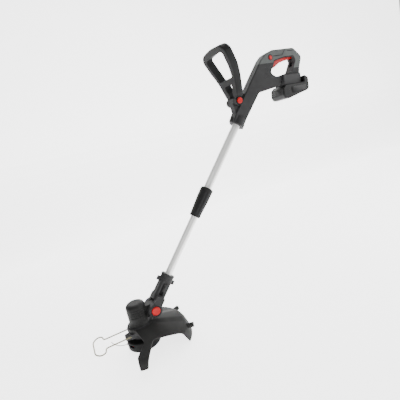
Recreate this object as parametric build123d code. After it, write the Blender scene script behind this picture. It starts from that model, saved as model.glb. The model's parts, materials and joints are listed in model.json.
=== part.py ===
"""Cordless string trimmer: rear grip with battery, telescopic shaft, tilting motor head and guard.

Frame: +Z is up along the spool's spin axis, -X is forward (the wire guard's side), +X is towards the
operator, -Y is the operator's left. The origin is the bottom of the bump knob on the spin axis.
"""
from build123d import *
from math import cos, sin, tan, radians
import os

# Shaft line and pivot
SHAFT_ANGLE = 49.5          # shaft above the cutting plane
TILT_X = 55.0               # tilt pivot behind the spin axis
TILT_Z = 112.0              # tilt pivot above the ground
RUN_FIT = 0.05              # radial clearance of pins, shafts and sliding tubes
BODY_GAP = 0.4              # gap between faces of pieces that move past each other
CA = cos(radians(SHAFT_ANGLE))
SA = sin(radians(SHAFT_ANGLE))

# Telescopic tubes, distances along the shaft from the tilt pivot
LOWER_TUBE_R = 12.0
UPPER_TUBE_R = 14.0
TUBE_WALL = 1.2
LOWER_TUBE_START = 40.0
LOWER_TUBE_END = 520.0
UPPER_TUBE_START = 395.0
UPPER_TUBE_END = 800.0
SLEEVE_START = 330.0
SLEEVE_END = 437.0
SLEEVE_R_LOW = 18.5
SLEEVE_R_TOP = 22.0
SLEEVE_LIP = 4.0
PLUG_LENGTH = 12.0

# Rear housing
HOUSING_HALF = 18.5         # half thickness of the grip
HOUSING_WALL = 5.0
EDGE_CUT = 3.0              # bevel round the housing
OVERMOULD = 2.0             # soft grip skin
COLLAR_START = 682.0
COLLAR_END = 712.0
COLLAR_R = 25.0
ARM_FRONT = 27.0            # arm faces from the shaft axis
ARM_REAR = -19.0
GRIP_U = 925.0              # where the arm meets the grip, along the shaft
GRIP_X = TILT_X + GRIP_U * CA - ARM_FRONT * SA
GRIP_Z = TILT_Z + GRIP_U * SA + ARM_FRONT * CA
GRIP_RISE = 29.0            # top of the grip above that corner
GRIP_TOP_Z = GRIP_Z + GRIP_RISE
SCREW_R = 1.6
SCREW_HEAD_R = 3.2
SCREW_HEAD = 2.2
BOSS_R = 4.5

# Trigger and lock-off
TRIGGER_HALF = 8.0
TRIGGER_PIN_R = 2.0
TRIGGER_PIVOT = (GRIP_X + 143, GRIP_Z + 5)
TRIGGER_MOUTH = (GRIP_X + 49, GRIP_X + 154)
TRIGGER_ROOF_Z = GRIP_Z + 16
LOCK_OFF = (GRIP_X + 42, GRIP_Z + 4)
LOCK_OFF_R = 6.5
LOCK_OFF_PROUD = 3.0

# Battery and its shoe
BATTERY_HALF = 37.0
SHOE_LENGTH = 80.0
SHOE_FRONT_X = GRIP_X + 82
SHOE_REAR_X = SHOE_FRONT_X + SHOE_LENGTH
SHOE_BOTTOM_Z = GRIP_Z - 97
SHOE_HALF = 26.0
SHOE_CHEEK_Z = SHOE_BOTTOM_Z + 35
BAR_BOTTOM_Z = SHOE_BOTTOM_Z + 16
RAIL_STEM_HALF = 14.0
RAIL_FLANGE_HALF = 19.0
RAIL_STEM = 6.0
RAIL_FLANGE = 5.0
CELL_R = 9.1
CELL_LENGTH = 65.0
CELL_PITCH = 19.5
CELL_COUNT = 5

# Front handle
HUB_U = 750.0               # hub axis along and off the shaft
HUB_V = 42.5
HUB_R = 15.0
HUB_LUG_HALF = 12.0
HUB_HALF = 32.0
HUB_PIN_R = 4.0
HANDLE_TILT = 58.0          # loop plane from the shaft
HANDLE_LENGTH = 186.0
HANDLE_TOP_HALF = 79.0
HANDLE_ARCH = 3.0           # rise of the top bar's middle
HANDLE_BOW = 6.0            # how far the loop's front bows behind its plane
HANDLE_THICK = 27.0
HANDLE_RAIL = 20.0          # width of the loop's legs
LOCK_BUTTON_R = 10.0
LOCK_BUTTON_PROUD = 4.0

# Neck and tilt joint
NECK_HALF = 17.0
NECK_V = 19.0
NECK_START = 28.0
NECK_TOP = 118.0
NECK_COLLAR = 22.0
NECK_COLLAR_R = 22.0
NECK_BOSS = 28.0            # collar bosses off the tube's axis
EAR_R = 22.5
EAR_INNER = 15.0
EAR_OUTER = 31.0
LUG_R = 21.0
AXLE_R = 5.0
TILT_BUTTON_R = 14.0
TILT_BUTTON_PROUD = 6.0

# Motor head
MOTOR_R = 31.0
MOTOR_WALL = 3.5
MOTOR_TOP = 153.0
MOTOR_CAP = 6.0
BASE_R = 36.9
BASE_BOTTOM = 44.0
BASE_TOP = 82.0
CONE_TOP = 92.0
CAN_START = 86.0
CAN_END = 134.0
CAN_BORE = 17.0
ROTOR_R = 16.5
SHAFT_R = 4.0
BEARING_R = 11.0
BEARING_H = 7.0

# Spool
DRUM_R = 54.0
DRUM_WALL = 3.0
DRUM_TOP = 40.0
DRUM_BOTTOM = 8.0
KNOB_R = 22.0
KNOB_RISE = 6.0
KNOB_TRAVEL = 4.0
SPOOL_FLOOR = DRUM_BOTTOM + KNOB_RISE + KNOB_TRAVEL
SPOOL_R = 44.0
SPOOL_CORE_R = 27.0
EYELET_R = 4.0
LINE_R = 1.0
LINE_Z = 26.0

# Guard and wire guard
GUARD_R = 160.0
GUARD_SHOULDER_R = GUARD_R - 14
GUARD_SHOULDER_Z = 46.0
GUARD_HUB_R = 41.0
GUARD_SCREW_R = (BASE_R + GUARD_HUB_R) / 2
GUARD_HUB_Z = 79.6
GUARD_FOOT_Z = 6.0
GUARD_WING_Z = 22.0
GUARD_WALL = 3.0
GUARD_SIDE = 92.0
KNOB_ANGLE = 24.0           # rear knobs, round the spin axis
KNOB_Z = 34.0
KNOB_STUB_R = 8.0
WIRE_R = 2.0
WIRE_HALF = 26.0
WIRE_Z = 60.0
WIRE_END_X = -12.0
WIRE_PINCH_X = -119.0
WIRE_FRONT_X = -153.0
HOLDER_FRONT_X = -42.0
HOLDER_HALF = 31.0
TONGUE_FRONT_X = -56.0
TONGUE_HALF = 15.0

UP = (Align.CENTER, Align.CENTER, Align.MIN)


def sh(u, v=0.0):
    """Row (x, z) of a point u along the shaft from the tilt pivot and v in front of its axis."""
    return (TILT_X + u * CA - v * SA, TILT_Z + u * SA + v * CA)


def grip(dx, dz):
    """Row (x, z) of a point of the grip, from the corner where the arm meets it."""
    return (GRIP_X + dx, GRIP_Z + dz)


def along(u, v=0.0, y=0.0):
    """Location on the shaft with its own z running up the shaft and its own x to the operator's right."""
    x, z = sh(u, v)
    return Plane(origin=(x, y, z), x_dir=(0, 1, 0), z_dir=(CA, 0, SA)).location


def rod(u0, u1, r0, r1=None):
    """Round bar or cone on the shaft axis."""
    if r1 is None:
        return along(u0) * Cylinder(r0, u1 - u0, align=UP)
    return along(u0) * Cone(r0, r1, u1 - u0, align=UP)


def slab(face, near, far):
    """Face drawn in (x, z), made solid from y = near to y = far."""
    return Plane.XZ.location * (Pos(0, 0, -far) * extrude(face, amount=far - near))


def outline(points, radii):
    """Closed outline in (x, z) with one corner radius for each point."""
    return make_face(FilletPolyline(*points, radius=radii, close=True))


def pin_y(x, z, r, near, far):
    """Round bar across the trimmer."""
    return Pos(x, (near + far) / 2, z) * Rot(90, 0, 0) * Cylinder(r, far - near)


def post(x, y, z0, z1, r):
    """Upright round bar."""
    return Pos(x, y, z0) * Cylinder(r, z1 - z0, align=UP)


def block(x0, x1, y0, y1, z0, z1):
    """Box between two corners."""
    return Pos((x0 + x1) / 2, (y0 + y1) / 2, (z0 + z1) / 2) * Box(x1 - x0, y1 - y0, z1 - z0)


def left(solid):
    """Part of a solid on the operator's left."""
    return solid & block(-400, 1200, -300, 0, -50, 1200)


def right(solid):
    """Part of a solid on the operator's right."""
    return solid & block(-400, 1200, 0, 300, -50, 1200)


parts = {}

# Rear housing outline and hand opening
HOUSING_POINTS = [
    sh(COLLAR_START, ARM_FRONT - 3), sh(COLLAR_END, ARM_FRONT), grip(0, 0), grip(22, 18),
    (GRIP_X + 54, GRIP_TOP_Z), (GRIP_X + 153, GRIP_TOP_Z), grip(188, -4), grip(172, -42),
    (SHOE_REAR_X, BAR_BOTTOM_Z), (SHOE_FRONT_X - 6, BAR_BOTTOM_Z), (SHOE_FRONT_X - 14, SHOE_BOTTOM_Z + 1),
    grip(35, -100), grip(-28, -108), sh(COLLAR_START + 18, ARM_REAR), sh(COLLAR_START, ARM_REAR - 3),
]
HOUSING_RADII = [8, 20, 16, 14, 18, 20, 16, 20, 5, 5, 6, 20, 12, 20, 8]
OPENING_POINTS = [grip(48, -29), grip(58, -9), grip(103, -1), grip(147, 0), grip(153, -15), grip(131, -52),
                  grip(57, -64), grip(29, -47)]
OPENING_RADII = [6, 8, 20, 7, 8, 9, 12, 12]
HOUSING_SCREWS = [sh(850, 17), grip(5, -81), grip(163, 3), grip(151, -65)]


def housing_body():
    """Whole housing before it is parted: rounded outline, hand opening and hollow inside."""
    face = outline(HOUSING_POINTS, HOUSING_RADII)
    hole = outline(OPENING_POINTS, OPENING_RADII)
    body = slab(face, -HOUSING_HALF, HOUSING_HALF)
    rim = body.faces().filter_by(Axis.Y).edges()
    body = chamfer(rim, EDGE_CUT)
    opening = slab(hole, -HOUSING_HALF - 5, HOUSING_HALF + 5)
    body -= opening
    inner = slab(offset(face, -HOUSING_WALL), -HOUSING_HALF + HOUSING_WALL, HOUSING_HALF - HOUSING_WALL)
    inner -= slab(offset(hole, HOUSING_WALL), -HOUSING_HALF, HOUSING_HALF)
    inner -= rod(COLLAR_START - 5, COLLAR_END + 4, 60)
    return body - inner


def build_housing():
    """Two clamshell halves, soft grip skin and the screws that hold them."""
    body = housing_body()
    body += rod(COLLAR_START, COLLAR_END, COLLAR_R)
    for v in (-COLLAR_R, COLLAR_R):
        body += along(COLLAR_START + 2, v) * Cylinder(4.5, 16, align=UP)
    saddle = rod(UPPER_TUBE_END - 18, UPPER_TUBE_END - 6, UPPER_TUBE_R + 9)
    body += saddle & slab(outline(HOUSING_POINTS, HOUSING_RADII), -HOUSING_HALF + 4, HOUSING_HALF - 4)
    for x, z in HOUSING_SCREWS:
        body += pin_y(x, z, BOSS_R, -HOUSING_HALF + 4, HOUSING_HALF - 4)
    body -= rod(COLLAR_START - 1, UPPER_TUBE_END, UPPER_TUBE_R)
    # soft skin on the top bar and the rear leg
    face = outline(HOUSING_POINTS, HOUSING_RADII)
    hole = outline(OPENING_POINTS, OPENING_RADII)
    side = HOUSING_HALF + 1
    zone = block(GRIP_X - 40, GRIP_X + 60, -side, side, GRIP_Z - 14, GRIP_TOP_Z + 1)
    zone += block(GRIP_X + 59, GRIP_X + 195, -side, side, GRIP_Z - 41, GRIP_TOP_Z + 1)
    core = slab(offset(face, -OVERMOULD), -HOUSING_HALF + OVERMOULD, HOUSING_HALF - OVERMOULD)
    core += slab(offset(hole, OVERMOULD + 1), -side, side)
    skin = (body & zone) - core
    skin = skin - pin_y(*LOCK_OFF, LOCK_OFF_R + 4, -HOUSING_HALF - 2, HOUSING_HALF + 2)
    parts["grip_overmould"] = skin
    body -= skin
    # trigger mouth, lock-off bore, pivot pin bore and shoe seat
    mouth = TRIGGER_HALF + BODY_GAP
    body -= block(*TRIGGER_MOUTH, -mouth, mouth, GRIP_Z - 35, TRIGGER_ROOF_Z)
    body -= pin_y(*LOCK_OFF, LOCK_OFF_R + RUN_FIT, -HOUSING_HALF - 2, HOUSING_HALF + 2)
    body -= pin_y(*TRIGGER_PIVOT, TRIGGER_PIN_R, -HOUSING_HALF + 3, HOUSING_HALF - 3)
    for i, (x, z) in enumerate(HOUSING_SCREWS):
        screw = pin_y(x, z, SCREW_R, -HOUSING_HALF + 8, HOUSING_HALF - SCREW_HEAD)
        screw += pin_y(x, z, SCREW_HEAD_R, HOUSING_HALF - SCREW_HEAD, HOUSING_HALF)
        parts[f"housing_screw_{i + 1}"] = screw
        parts["grip_overmould"] -= screw
        body -= screw
    parts["rear_housing_left"] = left(body)
    parts["rear_housing_right"] = right(body)


def build_controls():
    """Trigger lever on its pin, switch above it, cross-bolt lock-off and the control board."""
    px, pz = TRIGGER_PIVOT
    profile = outline([grip(51, -26), grip(55, -31), grip(66, -27), grip(84, -17), grip(112, -10),
                       grip(151, -5), grip(153, 11), grip(69, 11), grip(53, 7)], [3, 3, 8, 12, 30, 3, 3, 3, 4])
    trigger = slab(profile, -TRIGGER_HALF, TRIGGER_HALF)
    trigger = chamfer(trigger.faces().filter_by(Axis.Y).edges(), 0.8)
    parts["trigger"] = trigger - pin_y(px, pz, TRIGGER_PIN_R + RUN_FIT, -20, 20)
    parts["trigger_pin"] = pin_y(px, pz, TRIGGER_PIN_R, -HOUSING_HALF + 3, HOUSING_HALF - 3)
    lock = pin_y(*LOCK_OFF, LOCK_OFF_R, -HOUSING_HALF - LOCK_OFF_PROUD, HOUSING_HALF - 6)
    parts["lock_off_button"] = chamfer(lock.faces().sort_by(Axis.Y)[0].edges(), 1.2)
    top = GRIP_TOP_Z - HOUSING_WALL
    parts["switch_module"] = block(GRIP_X + 87, GRIP_X + 117, -TRIGGER_HALF, TRIGGER_HALF, top - 7.5, top)
    board_plane = along(812, 0, -HOUSING_HALF + HOUSING_WALL + 1)
    parts["control_board"] = board_plane * Box(2, 22, 62, align=(Align.CENTER, Align.CENTER, Align.MIN))


def build_shoe():
    """Battery shoe: channel under the lower bar with a T slot for the battery's rail, and its contacts."""
    slot_top = SHOE_BOTTOM_Z + RAIL_STEM + RAIL_FLANGE + BODY_GAP
    body = block(SHOE_FRONT_X, SHOE_REAR_X, -SHOE_HALF, SHOE_HALF, SHOE_BOTTOM_Z, SHOE_CHEEK_Z)
    body -= block(SHOE_FRONT_X - 9, SHOE_REAR_X + 9, -HOUSING_HALF, HOUSING_HALF, BAR_BOTTOM_Z, SHOE_CHEEK_Z + 1)
    body = chamfer(body.edges().filter_by(Axis.X).group_by(Axis.Z)[-1], 2.0)
    stem = RAIL_STEM_HALF + BODY_GAP
    flange = RAIL_FLANGE_HALF + BODY_GAP
    rail_front = SHOE_FRONT_X + 8
    body -= block(rail_front, SHOE_REAR_X + 1, -stem, stem, SHOE_BOTTOM_Z - 1, slot_top)
    body -= block(rail_front, SHOE_REAR_X + 1, -flange, flange, slot_top - RAIL_FLANGE - 2 * BODY_GAP, slot_top)
    parts["battery_shoe"] = body
    blades = block(rail_front, rail_front + 3, -12, 12, SHOE_BOTTOM_Z + 2, slot_top - 2)
    parts["terminal_block"] = blades


def build_battery():
    """Slide-on battery: lower and upper case halves, five cells and the rear release button."""
    deck = SHOE_BOTTOM_Z - BODY_GAP
    split = SHOE_BOTTOM_Z - 20
    hump = SHOE_REAR_X + 4.5
    rear = SHOE_REAR_X + 26
    profile = outline([(SHOE_FRONT_X - 20, deck - 35), (SHOE_FRONT_X - 13, deck - 47), (SHOE_FRONT_X + 5, deck - 50),
                       (rear - 8, deck - 30), (rear - 1, deck - 24), (rear, deck + 14), (rear - 15, deck + 22),
                       (hump, deck + 22), (hump, deck), (SHOE_FRONT_X - 5, deck), (SHOE_FRONT_X - 17, deck - 11)],
                      [6, 6, 20, 5, 5, 8, 4, 3.5, 3.5, 8, 5])
    body = slab(profile, -BATTERY_HALF, BATTERY_HALF)
    body = chamfer(body.faces().filter_by(Axis.Y).edges(), 2.5)
    stem_top = SHOE_BOTTOM_Z + RAIL_STEM
    rail_front = SHOE_FRONT_X + 8 + 3 + BODY_GAP
    body += block(rail_front, SHOE_REAR_X + 2, -RAIL_STEM_HALF, RAIL_STEM_HALF, SHOE_BOTTOM_Z - 1, stem_top)
    body += block(rail_front, SHOE_REAR_X + 2, -RAIL_FLANGE_HALF, RAIL_FLANGE_HALF, stem_top,
                  stem_top + RAIL_FLANGE - BODY_GAP)
    cells = []
    for i in range(CELL_COUNT):
        x = SHOE_FRONT_X + 3 + i * CELL_PITCH
        z = split - 6 + i * 2.2
        cells.append(pin_y(x, z, CELL_R, -CELL_LENGTH / 2, CELL_LENGTH / 2))
    for i, cell in enumerate(cells):
        parts[f"battery_cell_{i + 1}"] = cell
        body -= cell
    low, high = deck - 3, deck + 9
    button = block(rear - 6, rear + 3, -13, 13, low, high)
    body -= block(rear - 8, rear + 7, -13 - RUN_FIT, 13 + RUN_FIT, low - RUN_FIT, high + RUN_FIT)
    parts["battery_release_button"] = chamfer(button.faces().sort_by(Axis.X)[-1].edges(), 1.0)
    lower = block(SHOE_FRONT_X - 50, rear + 50, -100, 100, split - 100, split)
    parts["battery_case_lower"] = body & lower
    parts["battery_case_upper"] = body - lower


def build_shaft():
    """Telescopic tubes, twist sleeve with its collet, and the guide plug on the inner tube's end."""
    bore = UPPER_TUBE_R - TUBE_WALL
    parts["upper_tube"] = rod(UPPER_TUBE_START, UPPER_TUBE_END, UPPER_TUBE_R) - rod(
        UPPER_TUBE_START - 1, UPPER_TUBE_END + 1, bore)
    inner = LOWER_TUBE_R - TUBE_WALL
    parts["lower_tube"] = rod(LOWER_TUBE_START, LOWER_TUBE_END, LOWER_TUBE_R) - rod(
        LOWER_TUBE_START - 1, LOWER_TUBE_END + 1, inner)
    plug = rod(LOWER_TUBE_END - PLUG_LENGTH, LOWER_TUBE_END, inner)
    plug += rod(LOWER_TUBE_END, LOWER_TUBE_END + PLUG_LENGTH, bore - RUN_FIT)
    parts["telescope_plug"] = plug - rod(LOWER_TUBE_END - 20, LOWER_TUBE_END + 30, inner - 3)
    slide = LOWER_TUBE_R + RUN_FIT
    collet = rod(UPPER_TUBE_START - 48, UPPER_TUBE_START, UPPER_TUBE_R)
    parts["collet"] = collet - rod(UPPER_TUBE_START - 60, UPPER_TUBE_START + 1, slide)
    sleeve = rod(SLEEVE_START, SLEEVE_END, SLEEVE_R_LOW, SLEEVE_R_TOP)
    sleeve = chamfer(sleeve.edges(), 1.5)
    for i in range(8):
        ridge = Box(3.0, 3.0, SLEEVE_END - SLEEVE_START - 24, align=UP)
        mid_r = (SLEEVE_R_LOW + SLEEVE_R_TOP) / 2
        sleeve += along(SLEEVE_START + 12) * Rot(0, 0, 45 * i) * Pos(mid_r - 1.2, 0, 0) * ridge
    sleeve -= rod(SLEEVE_START + SLEEVE_LIP, SLEEVE_END + 1, UPPER_TUBE_R + RUN_FIT)
    parts["locking_sleeve"] = sleeve - rod(SLEEVE_START - 1, SLEEVE_START + SLEEVE_LIP + 1, slide)


def handle_plane(length, y=0.0):
    """Location on the front handle's loop plane: own y up the loop, own x to the right, own z to the rear."""
    hx, hz = sh(HUB_U, HUB_V)
    angle = radians(SHAFT_ANGLE + HANDLE_TILT)
    up = (cos(angle), 0, sin(angle))
    out = (sin(angle), 0, -cos(angle))
    origin = (hx + up[0] * length, y, hz + up[2] * length)
    return Plane(origin=origin, x_dir=(0, 1, 0), z_dir=out).location


def build_front_handle():
    """Bracket on the arm, looped front handle on its hub, soft pad, pivot pin and red lock button."""
    hx, hz = sh(HUB_U, HUB_V)
    web = outline([sh(COLLAR_END + 2, ARM_FRONT), sh(HUB_U - 14, HUB_V + 10), sh(HUB_U + 14, HUB_V + 10),
                   sh(HUB_U + 42, ARM_FRONT)], [1, 6, 6, 1])
    bracket = slab(web, -HUB_LUG_HALF, HUB_LUG_HALF) + pin_y(hx, hz, HUB_R, -HUB_LUG_HALF, HUB_LUG_HALF)
    bracket -= slab(outline(HOUSING_POINTS, HOUSING_RADII), -HOUSING_HALF, HOUSING_HALF)
    parts["front_bracket"] = bracket - pin_y(hx, hz, HUB_PIN_R, -40, 40)

    bottom = HUB_LUG_HALF + BODY_GAP
    knee = (HUB_HALF + 18, 56)
    waist = (HANDLE_TOP_HALF - 8, 116)
    corner = (HANDLE_TOP_HALF, HANDLE_LENGTH - 8)
    outside = [(HUB_HALF, 10), (HUB_HALF + 7, 24), knee, waist, corner]
    bends = [6, 20, 60, 80, 26]
    loop = make_face(FilletPolyline(*[(-x, y) for x, y in outside], (0, HANDLE_LENGTH + HANDLE_ARCH),
                                    *reversed(outside), radius=bends + [260] + bends[::-1], close=True))
    inside = [(knee[0] - HANDLE_RAIL + 11, 77), (waist[0] - HANDLE_RAIL, 118),
              (corner[0] - HANDLE_RAIL - 2, corner[1] - 16)]
    turns = [7, 40, 10]
    window = make_face(FilletPolyline(*[(-x, y) for x, y in inside], (0, corner[1] - 15 + HANDLE_ARCH),
                                      *reversed(inside), radius=turns + [260] + turns[::-1], close=True))
    gap = knee[0] - HANDLE_RAIL - 8
    fork = [(bottom, -40), (bottom, 32), (gap, 46), (gap, 58)]
    notch = [1, 6, 6, 4]
    lower = make_face(FilletPolyline(*[(-x, y) for x, y in fork], *reversed(fork),
                                     radius=notch + notch[::-1], close=True))
    front = [(-14, HANDLE_BOW - 12.5), (88, HANDLE_BOW), (HANDLE_LENGTH + 20, HANDLE_BOW - 14)]
    side = make_face(FilletPolyline(*front, *[(y, z + HANDLE_THICK) for y, z in reversed(front)],
                                    radius=[1, 260, 1, 1, 260 - HANDLE_THICK, 1], close=True))
    reach = 60
    body = Pos(0, 0, -reach) * extrude(loop, amount=2 * reach)
    body = body & extrude(Plane.YZ * side, amount=HANDLE_TOP_HALF + 10, both=True)
    skins = [f for f in body.faces() if abs(f.normal_at().Z) > 0.9]
    body = chamfer([e for e in body.edges() if sum(e in f.edges() for f in skins) == 1], 3.0)
    body -= Pos(0, 0, -reach) * extrude(window, amount=2 * reach)
    handle = handle_plane(0) * body
    for near, far in ((-HUB_HALF, -bottom), (bottom, HUB_HALF)):
        handle += pin_y(hx, hz, HUB_R, near, far)
    handle -= handle_plane(0) * (Pos(0, 0, -reach) * extrude(lower, amount=2 * reach))
    handle -= pin_y(hx, hz, HUB_R + 3, -bottom, bottom)
    handle -= pin_y(hx, hz, HUB_PIN_R + RUN_FIT, -HUB_HALF + 8, HUB_HALF + 1)
    handle -= pin_y(hx, hz, LOCK_BUTTON_R + RUN_FIT, -HUB_HALF - 9, -HUB_HALF + 8)
    pad_zone = handle_plane(HANDLE_LENGTH - 30) * (
        Box(2 * HANDLE_TOP_HALF - 50, 50, 2 * reach, align=(Align.CENTER, Align.MIN, Align.CENTER)))
    core = handle_plane(HANDLE_LENGTH - 18.5) * Pos(0, 0, HANDLE_BOW - 9.4 + HANDLE_THICK / 2) * (
        Box(2 * HANDLE_TOP_HALF, 19, HANDLE_THICK - 8))
    pad = (handle & pad_zone) - core
    parts["front_grip_pad"] = pad
    parts["front_handle"] = handle - pad
    parts["front_pivot_pin"] = pin_y(hx, hz, HUB_PIN_R, -HUB_HALF + 8 + BODY_GAP, HUB_HALF - 1)
    button = pin_y(hx, hz, LOCK_BUTTON_R, -HUB_HALF - LOCK_BUTTON_PROUD, -HUB_HALF + 3)
    parts["front_lock_button"] = chamfer(button.faces().sort_by(Axis.Y)[0].edges(), 1.2)


def build_neck():
    """Neck clamshell on the inner tube, its fork ears, screws, tilt axle and red tilt button."""
    core = along(NECK_START) * Box(2 * NECK_HALF, 2 * NECK_V, NECK_TOP - NECK_START, align=UP)
    body = chamfer(core.edges().filter_by(lambda e: e.length > NECK_TOP - NECK_START - 1), 6.0)
    collar_start = NECK_TOP - NECK_COLLAR
    body += rod(collar_start, NECK_TOP, NECK_COLLAR_R)
    for v in (-NECK_BOSS, NECK_BOSS):
        body += along(collar_start - 6, v) * Cylinder(4.5, 13, align=UP)
        body += along(collar_start - 6, v / 2) * Box(9, abs(v), 13, align=UP)
    for near, far in ((-EAR_OUTER, -EAR_INNER), (EAR_INNER, EAR_OUTER)):
        web = outline([sh(-2, 14), sh(46, 14), sh(46, -14), sh(-2, -14)], [2, 8, 8, 2])
        ear = slab(web, near, far) + pin_y(TILT_X, TILT_Z, EAR_R, near, far)
        body += ear
    body -= pin_y(TILT_X, TILT_Z, AXLE_R, -EAR_OUTER + 8, EAR_OUTER - 3)
    body -= pin_y(TILT_X, TILT_Z, TILT_BUTTON_R + RUN_FIT, -EAR_OUTER - 1, -EAR_OUTER + 8)
    body -= pin_y(TILT_X, TILT_Z, LUG_R + 4, -EAR_INNER, EAR_INNER)
    body -= rod(LOWER_TUBE_START, NECK_TOP + 1, LOWER_TUBE_R + RUN_FIT)
    for i, u in enumerate((66, 90)):
        x, z = sh(u, -NECK_V + 4.2)
        screw = pin_y(x, z, SCREW_R, -8, NECK_HALF - 7)
        screw += pin_y(x, z, SCREW_HEAD_R, NECK_HALF - 7, NECK_HALF - 7 + SCREW_HEAD)
        parts[f"neck_screw_{i + 1}"] = screw
        body -= screw
        body -= pin_y(x, z, SCREW_HEAD_R, NECK_HALF - 7 + SCREW_HEAD, NECK_HALF + 5)
    parts["neck_left"] = left(body)
    parts["neck_right"] = right(body)
    parts["tilt_axle"] = pin_y(TILT_X, TILT_Z, AXLE_R, -EAR_OUTER + 8 + BODY_GAP, EAR_OUTER - 3)
    button = pin_y(TILT_X, TILT_Z, TILT_BUTTON_R, -EAR_OUTER - TILT_BUTTON_PROUD, -EAR_OUTER + 2)
    parts["tilt_button"] = chamfer(button.faces().sort_by(Axis.Y)[0].edges(), 1.8)


def build_motor():
    """Motor cover with its lug, base, stator, rotor on its shaft and the two bearings."""
    cover = post(0, 0, BASE_TOP, MOTOR_TOP, MOTOR_R)
    cover = fillet(cover.faces().sort_by(Axis.Z)[-1].edges(), 13.0)
    lug = outline([(0, 94), (TILT_X + 4, TILT_Z - LUG_R + 1), (TILT_X + LUG_R - 3, TILT_Z), (TILT_X, TILT_Z + LUG_R - 1),
                   (0, 136)], [1, 8, 8, 8, 1])
    half = EAR_INNER - BODY_GAP
    cover += slab(lug, -half, half) + pin_y(TILT_X, TILT_Z, LUG_R, -half, half)
    skirt = Pos(0, 0, BASE_TOP) * Cone(BASE_R - 3, MOTOR_R, CONE_TOP - BASE_TOP, align=UP)
    cover += skirt
    inside = MOTOR_R - MOTOR_WALL
    cover -= post(0, 0, BASE_TOP - 1, CAN_END, inside)
    cover -= post(0, 0, CAN_END - 1, MOTOR_TOP - MOTOR_CAP - BEARING_H, inside - 8)
    cover -= post(0, 0, CAN_END - 1, MOTOR_TOP - MOTOR_CAP, BEARING_R)
    cover -= pin_y(TILT_X, TILT_Z, AXLE_R + RUN_FIT, -60, 60)
    for z in (112, 120, 128, 136):
        groove = post(0, 0, z, z + 3, MOTOR_R + 2) - post(0, 0, z - 1, z + 4, MOTOR_R - 1.4)
        for y0, y1 in ((-40, -EAR_INNER - 2), (EAR_INNER + 2, 40)):
            cover -= groove & block(-24, 24, y0, y1, z - 1, z + 4)
    parts["motor_cover"] = cover
    can = post(0, 0, CAN_START, CAN_END, inside)
    parts["motor_stator"] = can - post(0, 0, CAN_START - 1, CAN_END + 1, CAN_BORE)
    top_bearing = MOTOR_TOP - MOTOR_CAP - BEARING_H
    for name, z in (("bearing_upper", top_bearing), ("bearing_lower", BASE_BOTTOM + 3)):
        ring = post(0, 0, z, z + BEARING_H, BEARING_R)
        parts[name] = ring - post(0, 0, z - 1, z + BEARING_H + 1, SHAFT_R + RUN_FIT)
    shaft = post(0, 0, SPOOL_FLOOR, top_bearing + BEARING_H, SHAFT_R)
    parts["rotor_shaft"] = shaft
    magnet = post(0, 0, CAN_START + 2, CAN_END - 2, ROTOR_R)
    parts["rotor_magnet"] = magnet - post(0, 0, CAN_START, CAN_END, SHAFT_R)

    base = post(0, 0, BASE_BOTTOM, BASE_TOP, BASE_R)
    holder = block(HOLDER_FRONT_X, 0, -HOLDER_HALF, HOLDER_HALF, WIRE_Z - 8, WIRE_Z + 7)
    base += chamfer(holder.edges().filter_by(Axis.Z).group_by(Axis.X)[0], 6.0)
    tongue = block(TONGUE_FRONT_X, -20, -TONGUE_HALF, TONGUE_HALF, BASE_BOTTOM, BASE_BOTTOM + 10)
    base += chamfer(tongue.edges().filter_by(Axis.Z).group_by(Axis.X)[0], 5.0)
    flange = post(0, 0, BASE_BOTTOM + 18, BASE_BOTTOM + 24, GUARD_HUB_R)
    base += flange
    base -= post(0, 0, BASE_BOTTOM + 12, BASE_TOP + 1, 20)
    base -= post(0, 0, BASE_BOTTOM + 3, BASE_BOTTOM + 13, BEARING_R)
    base -= post(0, 0, BASE_BOTTOM - 1, BASE_BOTTOM + 4, SHAFT_R + 3)
    for y in (-WIRE_HALF, WIRE_HALF):
        bore = Pos(-15, y, WIRE_Z) * Rot(0, 90, 0) * Cylinder(WIRE_R + RUN_FIT, 110)
        base -= bore
    parts["motor_base"] = base


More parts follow.
